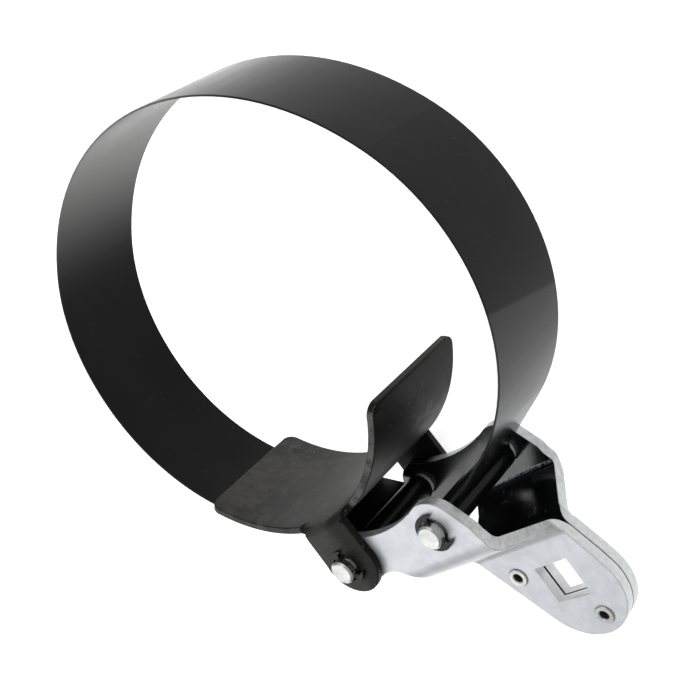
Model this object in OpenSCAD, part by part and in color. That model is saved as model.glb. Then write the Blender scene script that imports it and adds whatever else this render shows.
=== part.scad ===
// Heavy-duty band oil filter wrench, turned by a half-inch square drive.
// Origin: centre of the square socket, halfway between the two lever plates.
// +Z runs along the filter's axis, +Y from the socket towards the filter, millimetres.

/* [Drive end] */
// Side of the square socket, for a 1/2 inch drive
drive_side = 12.85; // [12.75:0.05:13.1]
// Radius of the lever's rounded end
grip_r = 16; // [15:0.5:18]
// Centre of the rounded end
grip_centre = [2.2, -4.6];
// Direction of the lever's left side, from +X
grip_angle = 117; // [116:0.5:118]
// Rivet places either side of the socket
rivet_at = [[-14.1, 5.7], [5.8, -14.2]];
// Outer radius of the rivet's shank
rivet_r = 2.25; // [2:0.05:2.4]
// Radius of the hole through the rivet
rivet_bore_r = 1.5; // [1.2:0.1:1.7]
// Radius of the rolled rivet head
rivet_head_r = 3.2; // [2.9:0.1:3.5]

/* [Lever plates] */
// Thickness of each plate
plate_t = 4; // [3.5:0.25:4.5]
// Hairline gap between the plates at the drive end
plate_gap = 0.2; // [0.1:0.05:0.4]
// Clear width between the plates at the pins
fork_width = 40; // [39:0.5:42]
// Steepness of the offset between fork and drive end
offset_angle = 66; // [60:1:70]
// Height along Y of the fold beside the socket, on the outer face
fold_y = 15.5; // [15:0.25:17]
// Radius of the folds, at mid thickness
fold_r = 4.5; // [3.5:0.25:5]
// Radius of the tip around the shoe pin
tip_r = 8.4; // [8:0.2:9]
// Radius of the hump around the band pin
hump_r = 9.4; // [9:0.2:10.4]
// Radius of the hollow edge between tip and hump
waist_r = 50; // [45:5:60]

/* [Pins and clips] */
// Centre of the pin that carries the shoe and one end of the band
shoe_pin_at = [-49, 38.4];
// Centre of the pin that carries the band's other end
band_pin_at = [-9.5, 37];
// Pin radius
pin_r = 4; // [3.9:0.05:4.05]
// Running clearance between a pin and its holes
pin_fit = 0.05; // [0.02:0.01:0.1]
// Outer radius of the E-clips
clip_r = 6.2; // [5.8:0.1:6.6]
// Thickness of the E-clips
clip_t = 0.9; // [0.8:0.1:1]
// Depth of the clip grooves
groove_depth = 1; // [0.8:0.1:1.1]
// Pin length outside each clip groove
pin_nose = 2.7; // [2:0.1:3.2]

/* [Band] */
// Width of the steel band
band_w = 36.3; // [34:0.5:38]
// Thickness of the steel band
band_t = 0.65; // [0.5:0.05:0.8]
// Centre of the loop
loop_at = [-30.5, 113.1];
// Half of the loop's long inner width
loop_long = 85.5; // [85:0.5:87]
// Half of the loop's short inner width
loop_short = 75.1; // [74.6:0.1:76.5]
// Inner radius of the loop's two tighter ends
loop_end_r = 65; // [64.8:0.1:66]
// Tilt of the loop's long direction, from +X
loop_tilt = -13.6; // [-14:0.1:-12]

/* [Shoe] */
// Inner radius of the curved shoe, that of a small filter
shoe_r = 56.6; // [56:0.1:56.7]
// Thickness of the shoe
shoe_t = 2.5; // [2.2:0.1:2.6]
// Width of the shoe's two wings
shoe_w = 46.8; // [45:0.5:47]
// Height of the shoe's centre above its pin
shoe_lift = 72.4; // [72.4:0.1:73]
// Angle covered by each wing, from the middle of the shoe
wing_angle = 54.5; // [52:0.5:54.5]
// Half of the angle covered by the ears at their roots
ear_angle = 10.2; // [9.8:0.2:10.6]
// Radius of the ears' rounded ends
ear_r = 10.5; // [10:0.1:10.8]
// Gap between each ear and the lever plate inside it
ear_gap = 0.4; // [0.3:0.05:0.6]

/* [Hidden] */
$fn = 96;

zinc = [0.80, 0.82, 0.85];
black_steel = [0.07, 0.07, 0.08];
grey_steel = [0.25, 0.25, 0.24];

eps = 0.01;
hole_r = pin_r + pin_fit;
plate_out = fork_width / 2 + plate_t;          // outer face of the fork
drive_out = plate_gap / 2 + plate_t;           // outer face of the drive end
ear_in = plate_out + ear_gap;
ear_out = ear_in + shoe_t;
clip_gap = 0.3;                                // a clip's play against what it holds
groove_w = clip_t + 0.2;
lap = 0.01;                                    // how much thinner the band's straight runs are
rivet_head_t = 0.6;
chamfer = 0.6;

function unit(a) = [cos(a), sin(a)];
function direction(v) = atan2(v[1], v[0]);
function tangent_angle(p, c, r, side) = direction(c - p) + side * asin(r / norm(c - p));

// Loop geometry: four tangent arcs of an oval, and a straight run to each pin
side_r = ((loop_long - loop_end_r)^2 + loop_short^2 - loop_end_r^2) / (2 * (loop_short - loop_end_r));
left_at = loop_at - (loop_long - loop_end_r) * unit(loop_tilt);
right_at = loop_at + (loop_long - loop_end_r) * unit(loop_tilt);
top_at = loop_at - (side_r - loop_short) * unit(loop_tilt + 90);
left_run = tangent_angle(shoe_pin_at, left_at, loop_end_r + band_t / 2, 1);
right_run = tangent_angle(band_pin_at, right_at, loop_end_r + band_t / 2, -1);

// Hollow edge between tip and hump, touching both circles
pin_span = norm(band_pin_at - shoe_pin_at);
pin_line = direction(band_pin_at - shoe_pin_at);
waist_x = (pin_span^2 + (waist_r + tip_r)^2 - (waist_r + hump_r)^2) / (2 * pin_span);
waist_y = sqrt((waist_r + tip_r)^2 - waist_x^2);
waist_at = shoe_pin_at + waist_x * unit(pin_line) + waist_y * unit(pin_line + 90);

// Shoe frame: its centre of curvature straight above the shoe pin
shoe_at = shoe_pin_at + [-0.2, shoe_lift];
shoe_mid = -88.5;                              // direction of the shoe's middle
ear_shift = [1.2, 0.2];                        // the ears' round ends lie a little off the pin

module sector(r, from, to) {
    steps = ceil((to - from) / 30);
    step = (to - from) / steps;
    polygon(concat([[0, 0]], [for (i = [0:steps]) r / cos(step / 2) * unit(from + i * step)]));
}

module arc(r_in, r_out, from, to) {
    intersection() {
        difference() {
            circle(r_out);
            circle(r_in);
        }
        sector(r_out + 1, from, to);
    }
}

// Side view of a plate's offset: drive end, fold, ramp, fold, fork
module offset_profile() {
    rise = fork_width / 2 - plate_gap / 2;
    mid_z = plate_gap / 2 + plate_t / 2;
    near_y = fold_y + plate_t / 2 * tan(offset_angle / 2);
    far_y = near_y + rise / tan(offset_angle);
    setback = fold_r * tan(offset_angle / 2);
    r_in = fold_r - plate_t / 2;
    r_out = fold_r + plate_t / 2;
    translate([-25, mid_z - plate_t / 2]) square([near_y - setback + 25 + eps, plate_t]);
    translate([near_y - setback, mid_z + fold_r]) arc(r_in, r_out, -90, -90 + offset_angle);
    translate([near_y, mid_z]) rotate(offset_angle) translate([setback - eps, -plate_t / 2])
        square([rise / sin(offset_angle) - 2 * setback + 2 * eps, plate_t]);
    translate([far_y + setback, mid_z + rise - fold_r]) arc(r_in, r_out, 90, 90 + offset_angle);
    translate([far_y + setback - eps, mid_z + rise - plate_t / 2]) square([40, plate_t]);
}

module lever_outline() {
    left_foot = grip_centre - grip_r * unit(grip_angle - 90);
    right_foot = grip_centre + grip_r * unit(10);
    difference() {
        union() {
            translate(grip_centre) circle(grip_r);
            translate(shoe_pin_at) circle(tip_r);
            translate(band_pin_at) circle(hump_r);
            polygon([left_foot, grip_centre, right_foot, [16.3, 4.2], [13, 13.6], [11.6, 16.6], [10.7, 19.4],
                     [4.4, 28], [3.2, 31], band_pin_at + [12.3, -3.4],
                     band_pin_at + hump_r * unit(25), band_pin_at + (hump_r - 1) * unit(110),
                     shoe_pin_at + (tip_r - 1) * unit(70), shoe_pin_at - [0, tip_r],
                     [-38.9, 30], [-32.2, 27.4], [-28.2, 23], [-25.3, 14.5]]);
        }
        translate(waist_at) circle(waist_r + 0.1);
        translate([-38.9, 21.4]) circle(9);
    }
}

// The ramp's right-hand edge, cut square to the ramp's own face
module ramp_trim() {
    ramp_foot = [0, fold_y + plate_t / 2 * tan(offset_angle / 2), plate_gap / 2 + plate_t / 2];
    translate(ramp_foot) rotate([offset_angle, 0, 0]) linear_extrude(plate_t + 1.2, center = true)
        polygon([[14, -1.5], [12.2, 0.8], [10.1, 3.6], [4.3, 21.5], [3.6, 31], [30, 31], [30, -1.5]]);
}

module front_plate_shape() {
    difference() {
        intersection() {
            linear_extrude(2 * plate_out, center = true) lever_outline();
            translate([-80, 0, 0]) rotate([90, 0, 90]) linear_extrude(120) offset_profile();
        }
        ramp_trim();
        for (p = [shoe_pin_at, band_pin_at]) translate(p) cylinder(h = 80, r = hole_r, center = true);
        for (p = rivet_at) translate(p) cylinder(h = 40, r = rivet_r + 0.05, center = true);
        cube([drive_side, drive_side, 40], center = true);
    }
}

module front_lever_plate() {
    color(zinc) front_plate_shape();
}

module back_lever_plate() {
    color(zinc) mirror([0, 0, 1]) front_plate_shape();
}

// Hollow rivets: a tube with a rolled head on each outer face
module handle_rivets() {
    foot = drive_out + 0.02;
    top = foot + rivet_head_t;
    bevel = 0.3;
    upper = [[rivet_r, foot], [rivet_head_r, foot], [rivet_head_r, top - bevel],
             [rivet_head_r - bevel, top], [rivet_bore_r + bevel, top], [rivet_bore_r, top - bevel]];
    lower = [for (i = [len(upper) - 1:-1:0]) [upper[i][0], -upper[i][1]]];
    color(zinc) for (p = rivet_at) translate(p) rotate_extrude() polygon(concat(upper, lower));
}

// A grooved pin with chamfered ends; grip is the outer face that each clip bears on
module grooved_pin(grip) {
    groove = grip + clip_gap - (groove_w - clip_t) / 2;
    end = groove + groove_w + pin_nose;
    upper = [[pin_r, groove], [pin_r - groove_depth, groove],
             [pin_r - groove_depth, groove + groove_w], [pin_r, groove + groove_w],
             [pin_r, end - chamfer], [pin_r - chamfer, end], [0, end]];
    lower = [for (i = [len(upper) - 1:-1:0]) [upper[i][0], -upper[i][1]]];
    rotate_extrude() polygon(concat(upper, lower));
}

// Flat E-clip with its mouth towards +X and three teeth in the pin's groove
module e_clip() {
    tooth_r = pin_r - groove_depth + 0.04;
    ring_in = pin_r + 0.7;
    mouth = 9.2;
    linear_extrude(clip_t) {
        difference() {
            circle(clip_r);
            circle(ring_in);
            translate([0, -mouth / 2]) square([clip_r + 1, mouth]);
        }
        arc(tooth_r, ring_in + 0.2, 164, 196);
        for (a = [80, -80]) arc(tooth_r, ring_in + 0.2, a - 14, a + 14);
    }
}

module clip_pair(grip) {
    for (s = [0, 1]) mirror([0, 0, s]) translate([0, 0, grip + clip_gap]) e_clip();
}

module shoe_pin() {
    color(zinc) translate(shoe_pin_at) grooved_pin(ear_out);
}

module shoe_pin_clips() {
    color(black_steel) translate(shoe_pin_at) rotate(20) clip_pair(ear_out);
}

module band_pin() {
    color(zinc) translate(band_pin_at) grooved_pin(plate_out);
}

module band_pin_clips() {
    color(black_steel) translate(band_pin_at) rotate(10) clip_pair(plate_out);
}

// Each piece of the strip ends just inside the next, so lap keeps it a hair thinner there
module strip_arc(r, from, to, lap = 0) {
    arc(r + lap, r + band_t - lap, from, to);
}

// Rolled eye with its pin at the origin, the band arriving along +X up to x = run
module eye(run) {
    mid = hole_r + band_t / 2;
    turn = 3;
    start = sqrt(mid^2 + 2 * mid * turn);
    lean = asin(turn / (mid + turn));
    cut_end = 14;
    strip_arc(hole_r, cut_end, 360 - lean);
    translate([start, -turn]) strip_arc(turn - band_t / 2, 88, 182 - lean, 2 * lap);
    translate([start, lap - band_t / 2]) square([run - start + 1, band_t - 2 * lap]);
}

// The steel strip: an oval loop that runs straight to a rolled eye on each pin
module band() {
    run_r = loop_end_r + band_t / 2;
    left_length = sqrt(norm(left_at - shoe_pin_at)^2 - run_r^2);
    right_length = sqrt(norm(right_at - band_pin_at)^2 - run_r^2);
    top_left = direction(left_at - top_at);
    top_right = direction(right_at - top_at);
    color(black_steel) linear_extrude(band_w, center = true) {
        translate(left_at) strip_arc(loop_end_r, top_left, left_run + 90);
        translate(top_at) strip_arc(side_r, top_right - 0.6, top_left + 0.6, lap);
        translate(right_at) strip_arc(loop_end_r, right_run - 90, top_right);
        translate(shoe_pin_at) rotate(left_run) mirror([0, 1]) eye(left_length);
        translate(band_pin_at) rotate(right_run) eye(right_length);
    }
}

// Removes the square corner of a wing at the given end angle, leaving a round one
module corner_cut(angle, side, r) {
    turn = r / shoe_r * 180 / PI;
    depth = 12;
    rotate(angle) translate([shoe_r, 0, 0]) rotate([0, 90, 0])
        translate([0, 0, -depth / 2]) linear_extrude(depth) difference() {
            translate([-shoe_w / 2 - 1, side > 0 ? -r : -1]) square([shoe_w + 2, r + 1]);
            for (s = [-1, 1]) translate([s * (shoe_w / 2 - r + 0.02), -side * (r - 0.02)]) circle(r);
            translate([-shoe_w / 2 + r, -r - 2]) square([shoe_w - 2 * r, 2 * r + 4]);
        }
}

module ear_outline() {
    root_y = shoe_lift - shoe_r - shoe_t / 2;
    translate(ear_shift) circle(ear_r);
    polygon([ear_shift + [-ear_r + 0.15, -1], ear_shift + [ear_r - 0.15, -1],
             ear_shift + [ear_r - 0.3, root_y], ear_shift + [-ear_r + 0.5, root_y]]);
}

// Curved saddle with two wings and two ears that hang outside the lever plates
module shoe() {
    root_r = 3.5;
    notch_r = 2.1;
    corner_r = 4;
    color(grey_steel) difference() {
        union() {
            translate(shoe_at) {
                linear_extrude(shoe_w, center = true)
                    arc(shoe_r, shoe_r + shoe_t, shoe_mid - wing_angle, shoe_mid + wing_angle);
                linear_extrude(2 * ear_out, center = true)
                    arc(shoe_r, shoe_r + shoe_t, shoe_mid - ear_angle, shoe_mid + ear_angle);
            }
            for (s = [0, 1]) mirror([0, 0, s]) translate([shoe_pin_at[0], shoe_pin_at[1], ear_in])
                linear_extrude(shoe_t) ear_outline();
        }
        translate(shoe_pin_at) cylinder(h = 80, r = hole_r, center = true);
        translate(shoe_at) {
            for (s = [0, 1]) mirror([0, 0, s]) translate([0, 0, ear_out - root_r]) rotate_extrude()
                translate([shoe_r, 0]) difference() {
                    translate([-1, 0]) square([root_r + 1, root_r + 1]);
                    translate([root_r - 0.02, 0.02]) circle(root_r);
                }
            for (s = [-1, 1], e = [-1, 1]) rotate(shoe_mid + e * (ear_angle + 2.1))
                translate([shoe_r, 0, s * shoe_w / 2]) rotate([0, 90, 0])
                    cylinder(h = 12, r = notch_r, center = true);
            corner_cut(shoe_mid - wing_angle, -1, corner_r);
            corner_cut(shoe_mid + wing_angle, 1, corner_r);
        }
    }
}

front_lever_plate();
back_lever_plate();
handle_rivets();
shoe_pin();
shoe_pin_clips();
band_pin();
band_pin_clips();
band();
shoe();
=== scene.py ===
import bmesh
import bpy
import math
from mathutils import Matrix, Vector
from mathutils.bvhtree import BVHTree


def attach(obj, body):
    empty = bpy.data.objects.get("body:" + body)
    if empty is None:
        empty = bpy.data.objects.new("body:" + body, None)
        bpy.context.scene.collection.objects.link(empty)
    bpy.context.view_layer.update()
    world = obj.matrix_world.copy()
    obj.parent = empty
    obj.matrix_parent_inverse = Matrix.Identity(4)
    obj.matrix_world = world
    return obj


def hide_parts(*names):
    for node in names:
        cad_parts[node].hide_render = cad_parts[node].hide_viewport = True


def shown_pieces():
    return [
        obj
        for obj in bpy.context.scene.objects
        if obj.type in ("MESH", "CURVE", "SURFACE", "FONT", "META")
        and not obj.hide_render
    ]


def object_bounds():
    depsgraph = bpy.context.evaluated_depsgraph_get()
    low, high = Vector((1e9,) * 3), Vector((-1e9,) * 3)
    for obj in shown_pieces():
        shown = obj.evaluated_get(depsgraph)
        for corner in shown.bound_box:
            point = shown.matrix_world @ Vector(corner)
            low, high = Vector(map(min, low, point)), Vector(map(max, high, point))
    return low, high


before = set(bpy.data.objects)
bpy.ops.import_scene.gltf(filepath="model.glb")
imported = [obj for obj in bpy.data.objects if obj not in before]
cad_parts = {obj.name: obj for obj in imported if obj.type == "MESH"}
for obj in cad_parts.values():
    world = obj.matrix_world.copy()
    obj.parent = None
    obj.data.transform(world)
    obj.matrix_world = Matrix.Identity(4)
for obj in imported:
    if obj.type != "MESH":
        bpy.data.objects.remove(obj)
cad_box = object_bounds()
scene = bpy.context.scene

MM = 0.001
FLOOR_GAP = 0.2 * MM
PLATE_ROUND = 0.28 * MM
SHOE_ROUND = 0.45 * MM
ROUND_STEPS = 3
ROUND_FROM = math.radians(38)
# how far the upper edge of the pale patch, a painted reflection on the band, drops from the band's near
# side to its far side, per metre of z
PATCH_SLANT = -0.19
# where the band's paler crown, a painted reflection, starts and where it is palest, along +Y
CROWN_FROM = 0.152
CROWN_FULL = 0.193
# the inner bend of the lever plates
BEND_Y = 0.0282


# ---------- small helpers for node materials ----------
class Shader:
    def __init__(self, name):
        self.mat = bpy.data.materials.new(name)
        self.mat.use_nodes = True
        self.tree = self.mat.node_tree
        self.tree.nodes.clear()
        self.out = self.add("ShaderNodeOutputMaterial")
        self.bsdf = self.add("ShaderNodeBsdfPrincipled")
        self.link(self.bsdf.outputs[0], self.out.inputs["Surface"])
        self.coord = self.add("ShaderNodeTexCoord")
        self.place = self.coord.outputs["Object"]

    def add(self, kind, **props):
        node = self.tree.nodes.new(kind)
        for key, value in props.items():
            setattr(node, key, value)
        return node

    def link(self, a, b):
        self.tree.links.new(a, b)

    def put(self, value, socket):
        if isinstance(value, bpy.types.NodeSocket):
            self.link(value, socket)
        else:
            socket.default_value = value

    def noise(self, scale, detail=4.0, rough=0.55, distortion=0.0, stretch=None, where=None):
        node = self.add("ShaderNodeTexNoise")
        source = where or self.place
        if stretch:
            mapping = self.add("ShaderNodeMapping")
            self.link(source, mapping.inputs["Vector"])
            mapping.inputs["Scale"].default_value = stretch
            source = mapping.outputs["Vector"]
        self.link(source, node.inputs["Vector"])
        node.inputs["Scale"].default_value = scale
        node.inputs["Detail"].default_value = detail
        node.inputs["Roughness"].default_value = rough
        node.inputs["Distortion"].default_value = distortion
        return node.outputs["Fac"]

    def spread(self, value, low, high, to_low=0.0, to_high=1.0):
        node = self.add("ShaderNodeMapRange", interpolation_type="SMOOTHSTEP")
        self.put(value, node.inputs["Value"])
        node.inputs["From Min"].default_value = low
        node.inputs["From Max"].default_value = high
        node.inputs["To Min"].default_value = to_low
        node.inputs["To Max"].default_value = to_high
        return node.outputs["Result"]

    def calc(self, operation, a, b=0.0, clamp=False):
        node = self.add("ShaderNodeMath", operation=operation, use_clamp=clamp)
        self.put(a, node.inputs[0])
        self.put(b, node.inputs[1])
        return node.outputs[0]

    def mix(self, factor, a, b):
        node = self.add("ShaderNodeMix", data_type="RGBA")
        self.put(factor, node.inputs["Factor"])
        self.put((*a, 1.0) if isinstance(a, tuple) else a, node.inputs["A"])
        self.put((*b, 1.0) if isinstance(b, tuple) else b, node.inputs["B"])
        return node.outputs["Result"]

    def blend(self, factor, a, b):
        node = self.add("ShaderNodeMix", data_type="FLOAT")
        self.put(factor, node.inputs["Factor"])
        self.put(a, node.inputs["A"])
        self.put(b, node.inputs["B"])
        return node.outputs["Result"]

    def axes(self, source):
        node = self.add("ShaderNodeSeparateXYZ")
        self.link(source, node.inputs[0])
        return node.outputs

    def bump(self, height, strength, distance):
        node = self.add("ShaderNodeBump")
        self.put(height, node.inputs["Height"])
        node.inputs["Strength"].default_value = strength
        node.inputs["Distance"].default_value = distance
        self.link(node.outputs["Normal"], self.bsdf.inputs["Normal"])

    def set(self, **values):
        for key, value in values.items():
            socket = self.bsdf.inputs[key.replace("_", " ")]
            self.put((*value, 1.0) if isinstance(value, tuple) else value, socket)


def band_black():
    s = Shader("band_black")
    cloud = s.noise(28, 3, 0.5)
    fine = s.noise(900, 4, 0.6)
    rolled = s.noise(260, 3, 0.6, stretch=(1, 1, 0.08))
    speck = s.spread(s.noise(700, 2, 0.5), 0.735, 0.765)
    place = s.axes(s.place)
    # painted reflection: the lower part of the right-hand run is paler, below a slanting line
    line = s.calc("ADD", place[1], s.calc("MULTIPLY", place[2], PATCH_SLANT))
    right_run = s.spread(place[0], 0.020, 0.034)
    painted_run_reflection = s.calc("MULTIPLY", s.spread(line, 0.0797, 0.0783), right_run)
    tone = s.mix(s.spread(cloud, 0.35, 0.7), (0.0030, 0.0032, 0.0036), (0.0055, 0.0057, 0.0062))
    # painted reflection: the crown of the loop is a paler grey that fades away along it
    painted_crown_reflection = s.calc("POWER", s.spread(place[1], CROWN_FROM, CROWN_FULL), 2.8)
    tone = s.mix(painted_crown_reflection, tone, (0.26, 0.26, 0.256))
    depth = s.spread(place[1], 0.082, 0.050, 0.10, 0.75)
    tone = s.mix(s.calc("MULTIPLY", painted_run_reflection, depth), tone, (0.040, 0.041, 0.042))
    tone = s.mix(s.calc("MULTIPLY", speck, 0.35), tone, (0.10, 0.10, 0.10))
    s.set(Base_Color=tone, Metallic=0.0)
    rough = s.calc("ADD", s.spread(cloud, 0.3, 0.7, 0.20, 0.28), s.spread(rolled, 0.3, 0.7, -0.02, 0.03))
    s.set(Roughness=rough)
    s.put(s.blend(painted_run_reflection, 0.09, 0.19), s.bsdf.inputs["Specular IOR Level"])
    s.bump(s.calc("ADD", s.calc("MULTIPLY", fine, 0.5), rolled), 0.10, 0.00005)
    return s.mat


def shoe_grey():
    s = Shader("shoe_grey")
    cloud = s.noise(26, 6, 0.62, 0.6)
    mottle = s.noise(200, 6, 0.70, 0.3)
    grain = s.noise(1500, 3, 0.6)
    normal = s.axes(s.coord.outputs["Normal"])
    edge = s.spread(s.calc("ABSOLUTE", normal[2]), 0.80, 0.97)
    height = s.calc("ABSOLUTE", s.axes(s.place)[2])
    wing = s.spread(height, 0.0236, 0.0241, 1.0, 0.0)
    flap = s.spread(s.axes(s.place)[0], -0.052, -0.040, 0.25, 1.0)
    patchy = s.calc("MULTIPLY", flap, s.spread(mottle, 0.3, 0.6))
    worn = s.calc("MULTIPLY", s.calc("MULTIPLY", edge, wing), patchy)
    tone = s.mix(s.spread(cloud, 0.34, 0.68), (0.007, 0.007, 0.0068), (0.056, 0.0545, 0.051))
    tone = s.mix(s.spread(mottle, 0.45, 0.66, 0.0, 0.65), tone, (0.088, 0.084, 0.077))
    tone = s.mix(s.spread(mottle, 0.45, 0.30, 0.0, 0.8), tone, (0.006, 0.006, 0.006))
    # the flap on the band pin's side is darker and less shiny than the wing
    flap_side = s.spread(s.axes(s.place)[0], -0.049, -0.043)
    tone = s.mix(s.blend(flap_side, 0.15, 0.72), tone, (0.003, 0.003, 0.003))
    fleck = s.spread(s.noise(620, 2, 0.5), 0.70, 0.75)
    tone = s.mix(s.calc("MULTIPLY", fleck, 0.6), tone, (0.16, 0.155, 0.15))
    tone = s.mix(s.calc("MULTIPLY", worn, 0.75), tone, (0.17, 0.17, 0.168))
    s.set(Base_Color=tone, Metallic=0.0)
    rough = s.calc("ADD", s.spread(cloud, 0.3, 0.7, 0.40, 0.54), s.spread(mottle, 0.3, 0.7, -0.05, 0.06))
    s.set(Roughness=rough)
    s.put(s.blend(flap_side, 0.24, 0.13), s.bsdf.inputs["Specular IOR Level"])
    s.bump(s.calc("ADD", s.calc("MULTIPLY", grain, 0.4), mottle), 0.42, 0.00018)
    return s.mat


def zinc_plate(name, side):
    """side is +1 for the plate above the mid-plane and -1 for the one below it."""
    s = Shader(name)
    cloud = s.noise(38, 5, 0.6, 0.3)
    spangle = s.noise(210, 5, 0.65)
    fine = s.noise(1100, 4, 0.6)
    grain = s.noise(520, 3, 0.6, stretch=(0.12, 1, 1))
    normal = s.axes(s.coord.outputs["Normal"])
    place = s.axes(s.place)
    facing = s.calc("MULTIPLY", normal[2], float(side))
    across = s.spread(s.calc("ABSOLUTE", normal[0]), 0.45, 0.60)
    sheared = s.calc("MAXIMUM", s.spread(s.calc("ABSOLUTE", facing), 0.36, 0.26), across)
    inside = s.calc("MULTIPLY", s.spread(facing, -0.28, -0.38), s.calc("SUBTRACT", 1.0, across))
    outer = s.mix(s.spread(cloud, 0.3, 0.7), (0.74, 0.765, 0.80), (0.82, 0.84, 0.87))
    outer = s.mix(s.spread(spangle, 0.38, 0.62, 0.0, 0.55), outer, (0.63, 0.66, 0.70))
    edge = s.mix(s.spread(grain, 0.3, 0.75), (0.40, 0.412, 0.416), (0.60, 0.61, 0.61))
    # painted highlight: the sheared edges are lighter towards the handle end
    edge = s.mix(s.spread(place[1], 0.024, 0.014, 0.0, 0.35), edge, (0.78, 0.79, 0.79))
    speck = s.spread(s.noise(420, 3, 0.6), 0.62, 0.70)
    patch = s.spread(s.noise(85, 4, 0.6), 0.48, 0.64)
    black = s.mix(s.calc("MULTIPLY", speck, patch), (0.006, 0.0066, 0.0075), (0.14, 0.15, 0.155))
    # a broken bright line follows the inner bend
    bend = s.calc("ADD", place[1], s.calc("MULTIPLY", s.noise(300, 3, 0.6), 0.0006))
    bend = s.spread(s.calc("ABSOLUTE", s.calc("SUBTRACT", bend, BEND_Y)), 0.00065, 0.00025)
    bend = s.calc("MULTIPLY", bend, s.spread(s.noise(700, 3, 0.7), 0.40, 0.52))
    bend = s.calc("MULTIPLY", bend, s.spread(s.calc("ABSOLUTE", place[2]), 0.0165, 0.0185))
    black = s.mix(s.calc("MULTIPLY", bend, 0.8), black, (0.50, 0.51, 0.52))
    # painted reflection: the black of the inner faces is greyer round the pins
    painted_pin_reflection = s.calc("MULTIPLY", s.spread(place[0], -0.040, -0.014), s.spread(place[0], 0.006, -0.006))
    painted_pin_reflection = s.calc("MULTIPLY", painted_pin_reflection, s.spread(s.calc("ABSOLUTE", place[2]), 0.0170, 0.0195))
    painted_pin_reflection = s.calc("MULTIPLY", painted_pin_reflection, s.spread(s.noise(70, 3, 0.5), 0.30, 0.70, 0.25, 1.0))
    black = s.mix(s.calc("MULTIPLY", painted_pin_reflection, 0.3), black, (0.10, 0.115, 0.14))
    if side < 0:
        # the edge is black at the tip of the far plate
        edge = s.mix(s.spread(place[0], -0.037, -0.043), edge, (0.008, 0.008, 0.008))
    tone = s.mix(inside, s.mix(sheared, outer, edge), black)
    s.set(Base_Color=tone)
    s.set(Metallic=s.blend(inside, 0.45, 0.0))
    rough = s.blend(sheared, s.spread(cloud, 0.3, 0.7, 0.40, 0.50), s.spread(grain, 0.3, 0.7, 0.30, 0.46))
    s.set(Roughness=s.blend(inside, rough, s.spread(cloud, 0.3, 0.7, 0.12, 0.30)))
    s.put(s.blend(inside, 0.5, 0.9), s.bsdf.inputs["Specular IOR Level"])
    waves = s.calc("MULTIPLY", s.calc("MULTIPLY", s.noise(60, 2, 0.5), inside), 6.0)
    coarse = s.calc("ADD", grain, s.calc("MULTIPLY", spangle, 0.6))
    height = s.calc("ADD", s.calc("MULTIPLY", fine, 0.5), coarse)
    s.bump(s.calc("ADD", height, waves), 0.16, 0.00008)
    return s.mat


def bright_steel(name, hollow=False):
    s = Shader(name)
    cloud = s.noise(150, 4, 0.6)
    turned = s.noise(900, 3, 0.6)
    tone = s.mix(s.spread(cloud, 0.3, 0.7), (0.46, 0.46, 0.455), (0.66, 0.66, 0.65))
    metal = 1.0
    if hollow:
        # painted shade: deep inside the hollow rivets' bores the colour is dark and not metallic
        flat = s.calc("ABSOLUTE", s.axes(s.coord.outputs["Normal"])[2])
        deep = s.spread(s.calc("ABSOLUTE", s.axes(s.place)[2]), 0.0046, 0.0042)
        painted_bore_shade = s.calc("MULTIPLY", s.spread(flat, 0.6, 0.4), deep)
        tone = s.mix(painted_bore_shade, tone, (0.055, 0.055, 0.055))
        metal = s.spread(painted_bore_shade, 0.0, 1.0, 1.0, 0.0)
    else:
        # the shank is matt: painted pale as a highlight between the band's eye and the plates, and
        # painted dark as shade inside the eye
        along = s.calc("ABSOLUTE", s.axes(s.place)[2])
        shank = s.spread(along, 0.0205, 0.0200)
        painted_shank_light_and_shade = s.mix(s.spread(along, 0.0182, 0.0180), (0.95, 0.95, 0.94), (0.006, 0.006, 0.006))
        tone = s.mix(shank, tone, painted_shank_light_and_shade)
        metal = s.blend(shank, 1.0, 0.0)
    s.set(Base_Color=tone, Metallic=metal)
    s.set(Roughness=s.spread(turned, 0.3, 0.7, 0.20, 0.34))
    s.bump(turned, 0.14, 0.00005)
    return s.mat


def black_steel():
    s = Shader("black_steel")
    cloud = s.noise(400, 4, 0.6)
    fine = s.noise(2500, 3, 0.6)
    tone = s.mix(s.spread(cloud, 0.35, 0.7), (0.006, 0.006, 0.0065), (0.018, 0.018, 0.019))
    s.set(Base_Color=tone, Metallic=0.0)
    s.set(Roughness=s.spread(cloud, 0.3, 0.7, 0.26, 0.42))
    s.bsdf.inputs["Specular IOR Level"].default_value = 0.25
    s.bump(fine, 0.15, 0.00004)
    return s.mat


def floor_white():
    s = Shader("floor_white")
    cloud = s.noise(6, 3, 0.5)
    tone = s.mix(s.spread(cloud, 0.3, 0.7), (0.86, 0.86, 0.86), (0.90, 0.90, 0.90))
    s.set(Base_Color=tone, Roughness=0.9)
    s.bsdf.inputs["Specular IOR Level"].default_value = 0.0
    s.bsdf.inputs["Emission Color"].default_value = (1, 1, 1, 1)
    s.bsdf.inputs["Emission Strength"].default_value = 0.80
    s.bump(cloud, 0.02, 0.0001)
    return s.mat


STEEL = bright_steel("bright_steel")
BLACK = black_steel()
FINISH = {
    "front_lever_plate": zinc_plate("zinc_front", 1),
    "back_lever_plate": zinc_plate("zinc_back", -1),
    "handle_rivets": bright_steel("rivet_steel", hollow=True),
    "shoe_pin": STEEL,
    "band_pin": STEEL,
    "shoe_pin_clips": BLACK,
    "band_pin_clips": BLACK,
    "band": band_black(),
    "shoe": shoe_grey(),
}


def repaint(obj, material):
    obj.data.materials.clear()
    obj.data.materials.append(material)


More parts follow.
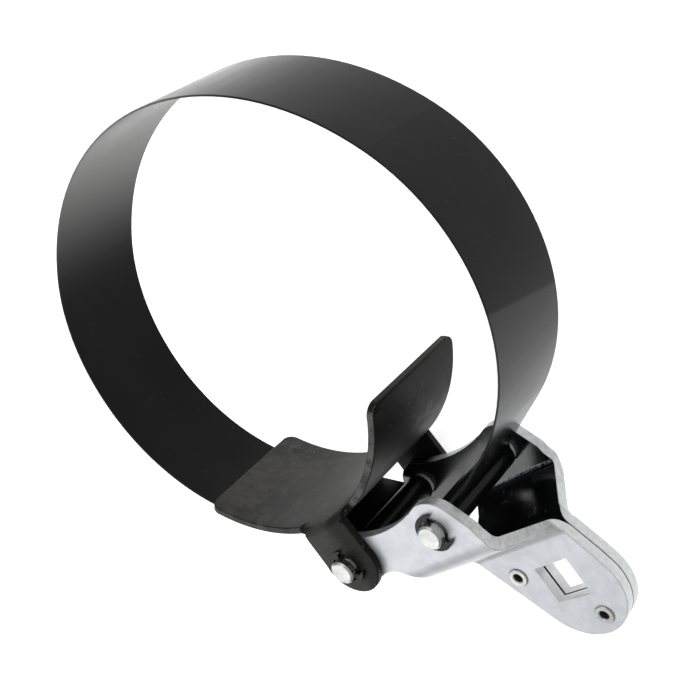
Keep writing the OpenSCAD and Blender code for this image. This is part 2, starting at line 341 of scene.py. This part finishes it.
# body, material slot and width of the rounded edges, for each plate that gets them
BODY = {
    "front_lever_plate": ("lever", "zinc", PLATE_ROUND),
    "back_lever_plate": ("lever", "zinc", PLATE_ROUND),
    "shoe": ("shoe_body", "shoe_grey", SHOE_ROUND),
}


def softened(piece, node):
    """A copy of a punched plate whose sharp edges are broken by a small round."""
    body, slot, width = BODY[node]
    mesh = piece.data.copy()
    mesh.name = node + "_soft"
    work = bmesh.new()
    work.from_mesh(mesh)
    work.transform(piece.matrix_world)
    bmesh.ops.remove_doubles(work, verts=work.verts, dist=2e-6)
    bmesh.ops.dissolve_limit(work, angle_limit=math.radians(0.4), verts=work.verts, edges=work.edges)
    for face in work.faces:
        face.smooth = True
    # only outward corners are rounded; inward ones are bend lines and notch roots
    weight = work.edges.layers.float.new("bevel_weight_edge")
    for edge in work.edges:
        sharp = edge.is_convex and edge.calc_face_angle(0.0) > ROUND_FROM
        edge[weight] = 1.0 if sharp else 0.0
    work.to_mesh(mesh)
    work.free()
    if "custom_normal" in mesh.attributes:
        mesh.attributes.remove(mesh.attributes["custom_normal"])
    new = bpy.data.objects.new(node + "_soft", mesh)
    scene.collection.objects.link(new)
    rounding = new.modifiers.new("edges", "BEVEL")
    rounding.width = width
    rounding.segments = ROUND_STEPS
    rounding.limit_method = "WEIGHT"
    rounding.use_clamp_overlap = False
    rounding.harden_normals = True
    rounded = bpy.data.meshes.new_from_object(new.evaluated_get(bpy.context.evaluated_depsgraph_get()))
    new.modifiers.clear()
    new.data = rounded
    # where two rounds meet in a tight notch, the new points go back onto the plate's surface
    surface = BVHTree.FromPolygons([piece.matrix_world @ v.co for v in piece.data.vertices],
                                   [p.vertices[:] for p in piece.data.polygons])
    for vertex in rounded.vertices:
        near, facing, _, gap = surface.find_nearest(vertex.co)
        outside = gap > 0.03 * MM and (vertex.co - near).dot(facing) > 0
        if outside or gap > width * 0.4:
            vertex.co = near
    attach(new, body)
    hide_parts(node)
    return new


for piece in list(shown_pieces()):
    for node, material in FINISH.items():
        if piece.name == node or piece.name.startswith(node + "."):
            shown = softened(piece, node) if node in BODY else piece
            repaint(shown, material)

# ---------- floor ----------
bpy.ops.mesh.primitive_plane_add(size=6.0, location=(0, 0, cad_box[0].z - FLOOR_GAP))
floor = bpy.context.object
floor.name = "floor"
floor.data.materials.append(floor_white())

# ---------- soft studio light ----------
world = bpy.data.worlds.new("studio")
scene.world = world
world.use_nodes = True
tree = world.node_tree
tree.nodes.clear()
sky_out = tree.nodes.new("ShaderNodeOutputWorld")
sky = tree.nodes.new("ShaderNodeBackground")
coord = tree.nodes.new("ShaderNodeTexCoord")
split = tree.nodes.new("ShaderNodeSeparateXYZ")
ramp = tree.nodes.new("ShaderNodeMapRange")
ramp.interpolation_type = "SMOOTHSTEP"
ramp.inputs["From Min"].default_value = -0.2
ramp.inputs["From Max"].default_value = 0.9
ramp.inputs["To Min"].default_value = 0.22
ramp.inputs["To Max"].default_value = 0.50
tree.links.new(coord.outputs["Generated"], split.inputs[0])
tree.links.new(split.outputs[2], ramp.inputs["Value"])
tree.links.new(ramp.outputs["Result"], sky.inputs["Strength"])
tree.links.new(sky.outputs[0], sky_out.inputs["Surface"])
sky.inputs["Color"].default_value = (1, 1, 1, 1)


def area(name, place, target, size, power, colour=(1, 1, 1)):
    data = bpy.data.lights.new(name, "AREA")
    data.shape = "RECTANGLE"
    data.size, data.size_y = size
    data.energy = power
    data.color = colour
    lamp = bpy.data.objects.new(name, data)
    scene.collection.objects.link(lamp)
    lamp.location = place
    lamp.rotation_euler = (Vector(target) - Vector(place)).to_track_quat("-Z", "Y").to_euler()
    return lamp


# the lamps are aimed at the middle of the wrench
CENTRE = (-0.03, 0.085, 0.0)
area("key", (-0.55, 0.05, 0.60), CENTRE, (0.7, 0.7), 1.9)
area("top", (-0.05, 0.55, 0.70), CENTRE, (0.8, 0.5), 1.0)

# ---------- camera ----------
data = bpy.data.cameras.new("camera")
data.sensor_width = 36.0
data.lens = 58.17
data.clip_start = 0.01
camera = bpy.data.objects.new("camera", data)
scene.collection.objects.link(camera)
camera.location = (0.23277, 0.11581, 0.23988)
camera.rotation_mode = "QUATERNION"
camera.rotation_quaternion = (0.87586966, -0.15364417, 0.36196475, -0.27969148)
scene.camera = camera
scene.view_settings.view_transform = "Standard"
scene.view_settings.look = "None"
